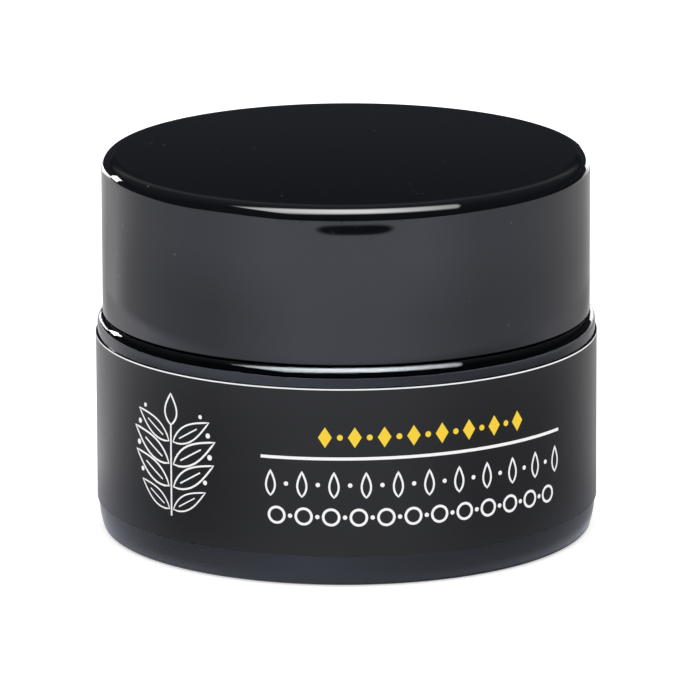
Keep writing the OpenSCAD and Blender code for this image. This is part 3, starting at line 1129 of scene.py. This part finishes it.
def makeInnerCap():
    outer = capHigh.x - shell["snapReach"] - innerCap["play"]
    path = roundedPath([
        (0, linerHigh.z, 0, 2 * mm),
        (boreRadius, linerHigh.z, 0.1 * mm),
        (boreRadius, linerLow.z),
        (boreRadius - innerCap["beadReach"], linerLow.z, 0.12 * mm),
        (boreRadius - innerCap["beadReach"], linerLow.z - innerCap["beadHeight"], 0.12 * mm),
        (boreRadius, linerLow.z - innerCap["beadHeight"], 0, 0.12 * mm),
        (boreRadius, capLow.z, 0.15 * mm),
        (capHigh.x, capLow.z, 0.2 * mm),
        (capHigh.x, snapTop, 0.12 * mm),
        (outer, snapTop, 0, 0.5 * mm),
        (outer, keyFoot - innerCap["play"], 0, 0.05 * mm),
        (outer, keyFoot, 0, 1 * mm),
        (outer, capHigh.z, 0.15 * mm, 1 * mm),
        (0, capHigh.z),
    ])
    segments = shell["keys"] * innerCap["columnsPerKey"]
    piece = lathe("innerCap", path, segments=segments, start=math.pi / segments)
    halfGroove = 2.6 * fullTurn / segments
    bakeNodes(piece, trees["grooves"], Count=shell["keys"], Finish=finish["innerCap"],
              **{"Groove Radius": outer - shell["keyHeight"], "Half Angle": halfGroove,
                 "From Height": keyFoot - innerCap["play"] - 0.001 * mm})
    bakeNodes(piece, trees["thread"], **capThread,
              **{"Wall Radius": boreRadius, "Finish": finish["innerCap"]})
    finishPiece(piece, "lid", "insert_plastic", "lid_insert")
    return piece


def makeLiner():
    path = roundedPath([
        (0, linerLow.z, 0, 2 * mm),
        (linerHigh.x, linerLow.z, 0.12 * mm),
        (linerHigh.x, linerHigh.z, 0.12 * mm, 2 * mm),
        (0, linerHigh.z),
    ])
    piece = lathe("foamLiner", path, segments=192)
    piece.data.materials.append(finish["foam"])
    finishPiece(piece, "liner", "liner_foam", "liner_disc")
    return piece


sealingDisc = {"thickness": 0.5 * mm, "mouthPlay": 0.25 * mm, "tabLength": 9 * mm, "tabThickness": 0.9 * mm,
               "tabDrop": 0.4 * mm}


def makeSealingDisc():
    cup = jar["neckRadius"] - jar["neckWall"] - sealingDisc["mouthPlay"]
    inner = cup - sealingDisc["thickness"]
    flange = discHigh.z - sealingDisc["thickness"]
    floor = discLow.z + sealingDisc["thickness"]
    path = roundedPath([
        (0, discLow.z, 0, 2 * mm),
        (cup, discLow.z, 0.4 * mm, 0.5 * mm),
        (cup, flange, 0.1 * mm),
        (discHigh.x, flange, 0.2 * mm),
        (discHigh.x, discHigh.z, 0.2 * mm),
        (inner, discHigh.z, 0.2 * mm, 0.5 * mm),
        (inner, floor, 0.35 * mm, 2 * mm),
        (0, floor),
    ])
    piece = lathe("sealingDisc", path, segments=192)
    tab = makeTab(floor - 0.15 * mm, discHigh.z - sealingDisc["tabDrop"])
    piece = joinPieces("sealingDisc", [piece, tab])
    piece.data.materials.append(finish["disc"])
    piece.data.set_sharp_from_angle(angle=math.radians(35))
    finishPiece(piece, "seal", "disc_plastic", "sealing_disc")
    return piece


def makeTab(low, high):
    # an upright round-ended grip with a softened top edge
    straight = (sealingDisc["tabLength"] - sealingDisc["tabThickness"]) / 2
    round_ = sealingDisc["tabThickness"] / 2
    edge = 0.2 * mm
    levels = [(0.12 * mm, low), (0, low + 0.3 * mm)]
    levels += [(edge * (1 - math.cos(a)), high - edge * (1 - math.sin(a)))
               for a in (math.pi / 2 * k / 5 for k in range(6))]
    bm = bmesh.new()
    rows = []
    for inset, z in levels:
        row = []
        for side in (1, -1):
            for k in range(13):
                a = math.pi * (k / 12 - 0.5)
                r = round_ - inset
                row.append(bm.verts.new((side * (straight + r * math.cos(a)), side * r * math.sin(a), z)))
        rows.append(row)
    for lower, upper in zip(rows, rows[1:]):
        for k in range(len(lower)):
            n = (k + 1) % len(lower)
            bm.faces.new([lower[k], lower[n], upper[n], upper[k]])
    bm.faces.new(rows[0])
    bm.faces.new(rows[-1])
    bmesh.ops.recalc_face_normals(bm, faces=bm.faces)
    mesh = bpy.data.meshes.new("pullTab")
    bm.to_mesh(mesh)
    bm.free()
    mesh.shade_smooth()
    return addMesh("pullTab", mesh)


lidShell = makeLidShell()
insertCap = makeInnerCap()
foamLiner = makeLiner()
sealDisc = makeSealingDisc()
pieces = [glassJar, labelFilm, whitePrint, yellowPrint, lidShell, insertCap, foamLiner, sealDisc]

studio = {
    "worldLevel": 1.2,
    "floorShown": 0.45,
    "cardGloss": 18.5,
    "cardDistance": 0.6,
    "cardElevation": 55,
    "cardCentre": (0.109, 0.12),
    "cardSize": (1.8, 0.9),
    "cardTurn": 9,
    "cardLean": 0.17,
    "cardAcross": [(0.0, 0.0), (0.02, 0.48), (0.15, 0.65), (0.3, 0.8), (0.45, 0.91), (0.55, 0.86),
                   (0.7, 0.62),
                   (0.85, 0.46), (0.97, 0.37), (1.0, 0.0)],
}

# how bright the table looks in gloss at each distance from the jar, by the direction from it:
# 0 degrees in front, 90 on the right; round levels set to suit the photo's tones
# painted reflection: levels of the floor's glow for glossy rays, standing in for the lit table
tableGloss = {
    # painted shadow: the dark ring under the jar's foot, its contact shadow as gloss shows it
    "paintedContactShadow": [(-180, 0.1), (-60, 0.3), (-20, 0.5), (10, 0.3), (40, 0.1), (180, 0.1)],
    "edge": [(-180, 0.5), (-70, 0.55), (-40, 0.9), (0, 0.85), (40, 0.8), (90, 0.6), (180, 0.5)],
    "foot": [(-180, 0.5), (-100, 0.6), (-50, 0.55), (-10, 0.9), (20, 0.65), (50, 0.5), (90, 0.4), (180, 0.5)],
    "near": [(-180, 0.75), (-140, 0.7), (-120, 0.85), (-90, 0.5), (-55, 0.3), (-20, 0.75), (20, 0.75),
             (50, 0.35),
             (90, 0.3), (120, 0.5), (150, 0.6), (180, 0.75)],
    "band": [(-180, 0.5), (-140, 0.55), (-100, 1.3), (-60, 1.05), (-20, 1.0), (0, 0.9), (30, 0.7), (60, 0.6),
             (100, 0.8), (140, 0.4), (180, 0.5)],
    "far": [(-180, 0.55), (-145, 0.55), (-130, 0.95), (-115, 0.7), (-60, 0.85), (-20, 1.5), (20, 1.4),
            (60, 0.9),
            (100, 0.7), (140, 0.5), (180, 0.55)],
    "outer": [(-180, 0.65), (-145, 0.65), (-130, 0.95), (-105, 0.8), (-60, 1.2), (-35, 1.55),
              (35, 1.55), (60, 1.1),
              (100, 0.8), (140, 0.55), (180, 0.65)],
    "beyond": [(-180, 2.0), (-150, 1.0), (-100, 0.9), (-60, 1.1), (-30, 1.6), (30, 1.6), (70, 1.0),
               (120, 0.7),
               (145, 0.9), (155, 2.0), (180, 2.0)],
}
# the cool cast of the table's painted reflection, strongest on the camera's side
tableCast = [(-180, 1.0, 1.0, 1.0), (-130, 1.0, 0.97, 1.0), (-80, 0.97, 1.0, 1.15), (80, 0.97, 1.0, 1.15),
             (130, 1.0, 0.98, 1.0), (180, 1.0, 1.0, 1.0)]
# the distances between which one gives way to the next, in metres
tableSteps = {"edge": (0.0223, 0.0228), "foot": (0.0230, 0.0242), "near": (0.030, 0.038),
              "band": (0.090, 0.096), "far": (0.102, 0.106), "outer": (0.122, 0.148), "beyond": (0.17, 0.22)}
# where the bright table ends, and the camera's dark shape in it, as middle and half size; both are painted
# reflection
tableEnd = [(-180, 0.35), (-150, 0.38), (-138, 0.9), (-112, 0.9), (-90, 0.42), (-75, 0.42), (-62, 0.9),
            (-54, 0.9),
            (-45, 0.38), (-30, 0.168), (33, 0.168), (50, 0.23), (65, 0.3), (140, 0.28), (150, 0.6),
            (168, 0.6),
            (180, 0.35)]
cameraShape = {"angle": (4, 17), "away": (0.1634, 0.0025)}
# the dim room by the height of the direction: behind the table, then on the camera's side
roomBehind = [(0.0, 0.035), (0.19, 0.035), (0.2, 0.055), (0.21, 0.045), (0.225, 0.015), (0.26, 0.02),
              (0.5, 0.035),
              (0.7, 0.07), (0.85, 0.11), (1.0, 0.12)]
roomFront = [(0.0, 0.03), (0.6, 0.04), (0.85, 0.1), (1.0, 0.12)]
# a pale arch behind, by the distance from its middle; it shows as a fine line round the lid's edge
roomArch = {"half": 0.32, "from": 0.5, "rise": 0.34,
            "level": [(0.0, 0.0), (0.25, 0.02), (0.4, 0.1), (0.48, 0.25), (0.56, 0.19), (0.65, 0.12),
                      (0.8, 0.06),
                      (1.0, 0.03)]}
# small cards behind the jar, seen in the rounded edges: direction, distance, shift, height,
# width, depth, slant and gloss
glints = {
    "leftCard": (-144, 0.138, 0.033, 0.055, 0.022, 0.034, 0, 9.0),
    "leftLine": (-144, 0.138, -0.003, 0.0245, 0.055, 0.011, 22, 4.5),
    "rightCard": (158.5, 0.42, 0.012, 0.027, 0.13, 0.056, -10, 3.0),
}


def lightPath(tree):
    return tree.nodes.new("ShaderNodeLightPath").outputs


def addRamp(tree, value, stops, scale=1.0):
    # a colour ramp from (place, level or colour) pairs
    ramp = tree.nodes.new("ShaderNodeValToRGB")
    while len(ramp.color_ramp.elements) < len(stops):
        ramp.color_ramp.elements.new(1.0)
    for element, (place, level) in zip(ramp.color_ramp.elements, stops):
        element.position = place
    for element, (place, level) in zip(ramp.color_ramp.elements, stops):
        colour = level if isinstance(level, tuple) else (level, level, level)
        element.color = (*[c * scale for c in colour], 1)
    joinTo(tree, value, ramp.inputs[0])
    return ramp.outputs[0]


def blendColours(tree, how, first, second):
    node = tree.nodes.new("ShaderNodeMix")
    node.data_type = "RGBA"
    node.blend_type = how
    node.inputs[0].default_value = 1
    tree.links.new(first, node.inputs[6])
    tree.links.new(second, node.inputs[7])
    return node.outputs[2]


def multiply(tree, first, second):
    return blendColours(tree, "MULTIPLY", first, second)


def addColours(tree, first, second):
    return blendColours(tree, "ADD", first, second)


def mixShares(tree, share, first, second):
    node = tree.nodes.new("ShaderNodeMix")
    node.data_type = "RGBA"
    tree.links.new(share, node.inputs[0])
    for value, socket in ((first, node.inputs[6]), (second, node.inputs[7])):
        joinTo(tree, value, socket)
    return node.outputs[2]


def byAngle(tree, turn, stops, scale):
    # a ramp over the direction, from (degrees, level) or (degrees, red, green, blue)
    places = [((angle + 180) / 360, level[0] if len(level) == 1 else tuple(level)) for angle, *level in stops]
    return addRamp(tree, turn, places, scale)


def paintedTableReflection(tree):
    # painted reflection of the lit table as glossy sides show it, with a painted contact shadow by the jar's
    # foot and the camera's painted dark shape in front
    place = tree.nodes.new("ShaderNodeTexCoord").outputs["Object"]
    split = tree.nodes.new("ShaderNodeSeparateXYZ")
    tree.links.new(place, split.inputs[0])
    x, y = split.outputs[:2]
    away = distanceOut(tree, x, y)
    angle = maths(tree, "ARCTAN2", x, maths(tree, "MULTIPLY", y, -1.0))
    turn = maths(tree, "ADD", maths(tree, "DIVIDE", angle, fullTurn), 0.5)
    rings = {name: byAngle(tree, turn, stops, 0.5) for name, stops in tableGloss.items()}
    lit = rings["paintedContactShadow"]
    for name, (low, high) in tableSteps.items():
        lit = mixShares(tree, spread(tree, away, 0.0, 1.0, low, high), lit, rings[name])
    lit = multiply(tree, lit, byAngle(tree, turn, tableCast, 0.5))
    past = maths(tree, "SUBTRACT", away, byAngle(tree, turn, tableEnd, 1.0))
    inside = spread(tree, past, 1.0, 0.0, -1 * mm, 2 * mm)
    middle, half = cameraShape["angle"]
    u = maths(tree, "DIVIDE", maths(tree, "SUBTRACT", angle, math.radians(middle)), math.radians(half))
    middle, half = cameraShape["away"]
    v = maths(tree, "DIVIDE", maths(tree, "SUBTRACT", away, middle), half)
    wide = maths(tree, "POWER", maths(tree, "ABSOLUTE", u), 4.0)
    shape = maths(tree, "ADD", wide, maths(tree, "MULTIPLY", v, v))
    clear = spread(tree, shape, 0.0, 1.0, 0.55, 1.25)
    # painted reflection: near black past the table's end and inside the camera's shape
    return mixShares(tree, maths(tree, "MULTIPLY", inside, clear), (0.0025, 0.003, 0.004, 1), lit)


def makeFloor():
    # a matt table with the object's shadow, white for the camera; in gloss it glows with its own painted
    # reflection
    mesh = bpy.data.meshes.new("floor")
    reach = 4
    corners = [(x * reach, y * reach, 0) for x, y in ((-1, -1), (1, -1), (1, 1), (-1, 1))]
    mesh.from_pydata(corners, [], [(0, 1, 2, 3)])
    floor = addMesh("floor", mesh)
    floor.location.z = -0.02 * mm
    material = bpy.data.materials.new("whiteFloor")
    material.use_nodes = True
    tree = material.node_tree
    tree.nodes.clear()
    rays = lightPath(tree)
    matt = tree.nodes.new("ShaderNodeBsdfDiffuse")
    matt.inputs["Color"].default_value = (0.85, 0.85, 0.85, 1)
    glow = tree.nodes.new("ShaderNodeEmission")
    shown = maths(tree, "MULTIPLY", rays["Is Camera Ray"], studio["floorShown"])
    joinTo(tree, shown, glow.inputs["Strength"])
    plain = tree.nodes.new("ShaderNodeAddShader")
    tree.links.new(matt.outputs[0], plain.inputs[0])
    tree.links.new(glow.outputs[0], plain.inputs[1])
    # painted reflection: glossy and transmission rays see this glow instead of the lit table
    paintedReflection = tree.nodes.new("ShaderNodeEmission")
    tree.links.new(paintedTableReflection(tree), paintedReflection.inputs["Color"])
    paintedReflection.inputs["Strength"].default_value = 4
    pick = tree.nodes.new("ShaderNodeMixShader")
    joinTo(tree, maths(tree, "MAXIMUM", rays["Is Glossy Ray"], rays["Is Transmission Ray"]), pick.inputs[0])
    tree.links.new(plain.outputs[0], pick.inputs[1])
    tree.links.new(paintedReflection.outputs[0], pick.inputs[2])
    leave = tree.nodes.new("ShaderNodeOutputMaterial")
    tree.links.new(pick.outputs[0], leave.inputs["Surface"])
    mesh.materials.append(material)
    return floor


def makeWorld():
    # plain for matt surfaces, white for the camera, a dim room in gloss
    world = bpy.data.worlds.new("studio")
    bpy.context.scene.world = world
    world.use_nodes = True
    tree = world.node_tree
    tree.nodes.clear()
    rays = lightPath(tree)
    direction = tree.nodes.new("ShaderNodeTexCoord").outputs["Generated"]
    split = tree.nodes.new("ShaderNodeSeparateXYZ")
    tree.links.new(direction, split.inputs[0])
    tint = (0.90, 0.99, 1.22)
    stops = [(z, tuple(level * c for c in tint)) for z, level in roomBehind]
    behind = addRamp(tree, split.outputs["Z"], stops)
    front = addRamp(tree, split.outputs["Z"], [(z, tuple(level * c for c in tint)) for z, level in roomFront])
    aside = maths(tree, "DIVIDE", split.outputs["X"], roomArch["half"])
    above = maths(tree, "SUBTRACT", split.outputs["Z"], roomArch["from"])
    above = maths(tree, "DIVIDE", maths(tree, "MAXIMUM", above, 0.0), roomArch["rise"])
    away = maths(tree, "ADD", maths(tree, "MULTIPLY", aside, aside), maths(tree, "MULTIPLY", above, above))
    arch = addRamp(tree, maths(tree, "MULTIPLY", maths(tree, "SQRT", away), 0.5), roomArch["level"])
    arch = multiply(tree, arch, spread(tree, split.outputs["Z"], 0.0, 1.0, 0.26, 0.42))
    behind = addColours(tree, behind, arch)
    room = mixShares(tree, spread(tree, split.outputs["Y"], 0.0, 1.0, -0.15, 0.15), front, behind)
    level = studio["worldLevel"]
    inGloss = mixShares(tree, rays["Is Glossy Ray"], (level, level, level, 1), room)
    seen = maths(tree, "MAXIMUM", rays["Is Camera Ray"], rays["Is Transmission Ray"])
    background = tree.nodes.new("ShaderNodeBackground")
    tree.links.new(mixShares(tree, seen, inGloss, (1, 1, 1, 1)), background.inputs["Color"])
    leave = tree.nodes.new("ShaderNodeOutputWorld")
    tree.links.new(background.outputs[0], leave.inputs["Surface"])


def makeCard():
    # the soft lamp above the camera, in gloss alone: the bright line along each rounded edge
    distance = studio["cardDistance"]
    tilt = math.radians(studio["cardElevation"])
    ahead = Vector((0, -math.cos(tilt), math.sin(tilt)))
    upward = Vector((0, math.sin(tilt), math.cos(tilt)))
    u, v = studio["cardCentre"]
    data = bpy.data.lights.new("softCard", "AREA")
    data.shape = "RECTANGLE"
    data.size, data.size_y = [side * distance for side in studio["cardSize"]]
    data.energy = studio["cardGloss"] * math.pi * data.size * data.size_y
    data.use_nodes = True
    tree = data.node_tree
    glow = tree.nodes["Emission"]
    spot = tree.nodes.new("ShaderNodeNewGeometry").outputs["Parametric"]
    split = tree.nodes.new("ShaderNodeSeparateXYZ")
    tree.links.new(spot, split.inputs[0])
    leaning = maths(tree, "MULTIPLY", maths(tree, "SUBTRACT", split.outputs[1], 0.5), studio["cardLean"])
    along = maths(tree, "ADD", spread(tree, split.outputs[0], -0.08, 1.08, 0.0, 1.0), leaning)
    across = addRamp(tree, along, studio["cardAcross"])
    fromMiddle = maths(tree, "ABSOLUTE", maths(tree, "SUBTRACT", split.outputs[1], 0.5))
    toEdge = maths(tree, "SUBTRACT", 0.5, fromMiddle)
    tree.links.new(across, glow.inputs["Color"])
    joinTo(tree, spread(tree, toEdge, 0.0, 1.0, 0.0, 0.3), glow.inputs["Strength"])
    card = bpy.data.objects.new("softCard", data)
    bpy.context.scene.collection.objects.link(card)
    facing = ahead.to_track_quat("Z", "Y").to_matrix().to_4x4()
    spin = Matrix.Rotation(math.radians(studio["cardTurn"]), 4, "Z")
    place = (ahead + Vector((u, 0, 0)) + upward * v) * distance
    card.matrix_world = Matrix.Translation(place) @ facing @ spin
    card.visible_camera = False
    card.visible_diffuse = False
    card.visible_transmission = False
    return card


def makeGlint(name):
    # a small bright card that stands behind the jar, in gloss alone
    angle, distance, aside, height, width, depth, slant, level = glints[name]
    angle = math.radians(angle)
    data = bpy.data.lights.new(name, "AREA")
    data.shape = "RECTANGLE"
    data.size, data.size_y = width, depth
    data.energy = level * math.pi * width * depth
    lamp = bpy.data.objects.new(name, data)
    bpy.context.scene.collection.objects.link(lamp)
    outward = Vector((math.sin(angle), -math.cos(angle), 0))
    sideways = Vector((math.cos(angle), math.sin(angle), 0))
    facing = outward.to_track_quat("Z", "Y").to_matrix().to_4x4()
    spin = Matrix.Rotation(math.radians(slant), 4, "Z")
    place = outward * distance + sideways * aside + Vector((0, 0, height))
    lamp.matrix_world = Matrix.Translation(place) @ facing @ spin
    lamp.visible_camera = False
    lamp.visible_diffuse = False
    lamp.visible_transmission = False
    return lamp


floor = makeFloor()
makeWorld()
card = makeCard()
for name in glints:
    makeGlint(name)
bpy.context.scene.view_settings.view_transform = "Standard"
print("stage and lights ready")


def allFaces():
    corners, faces = [], []
    for piece in pieces:
        first = len(corners)
        corners += [v.co.copy() for v in piece.data.vertices]
        faces += [[first + i for i in p.vertices] for p in piece.data.polygons]
    return BVHTree.FromPolygons(corners, faces)


def measurePoints():
    # how far right and down each thing shows from its image point
    everything = allFaces()
    eye = camera.matrix_world.translation.copy()

    def showing(places, near):
        found = []
        for place in places:
            x, y = toPixel(place)
            if near(x, y):
                ray = place - eye
                hit = everything.ray_cast(eye, ray.normalized())
                if hit[0] is None or hit[3] > ray.length - 1.5 * mm:
                    found.append((x, y))
        return found

    def cornersOf(*shown):
        return [v.co for piece in shown for v in piece.data.vertices]

    offsets = {}

    def edge(name, places, side, window=7):
        px, py = imagePoints[name]
        upright = side in ("left", "right")
        found = showing(places, lambda x, y: abs((y - py) if upright else (x - px)) < window)
        values = [q[0 if upright else 1] for q in found]
        if values:
            value = min(values) if side in ("left", "top") else max(values)
            offsets[name] = [round(value - px, 1), 0.0] if upright else [0.0, round(value - py, 1)]

    edge("lidLeft", cornersOf(lidShell), "left")
    edge("lidRight", cornersOf(lidShell), "right")
    edge("lidBack", cornersOf(lidShell), "top")
    edge("lidFoot", cornersOf(lidShell), "bottom")
    edge("jarLeft", cornersOf(labelFilm, glassJar), "left", 45)
    edge("jarRight", cornersOf(labelFilm, glassJar), "right", 45)
    edge("jarBottom", cornersOf(glassJar), "bottom")
    edge("labelTop", cornersOf(labelFilm), "top")
    edge("labelBottom", cornersOf(labelFilm), "bottom")
    for row in ("yellow", "rule", "leaves", "beads"):
        shown = [toPixel(place) for place in printMarks[row]]
        for end, sign in (("Left", 1), ("Right", -1)):
            tip = min(sign * x for x, y in shown)
            ys = [y for x, y in shown if sign * x < tip + 5]
            px, py = imagePoints[row + end]
            offsets[row + end] = [round(sign * tip - px, 1), round((min(ys) + max(ys)) / 2 - py, 1)]
    shown = [toPixel(place) for place in printMarks["sprig"]]
    middle = [(min(q[i] for q in shown) + max(q[i] for q in shown)) / 2 for i in (0, 1)]
    offsets["sprig"] = [round(middle[i] - imagePoints["sprig"][i], 1) for i in (0, 1)]
    return offsets


measurePoints()
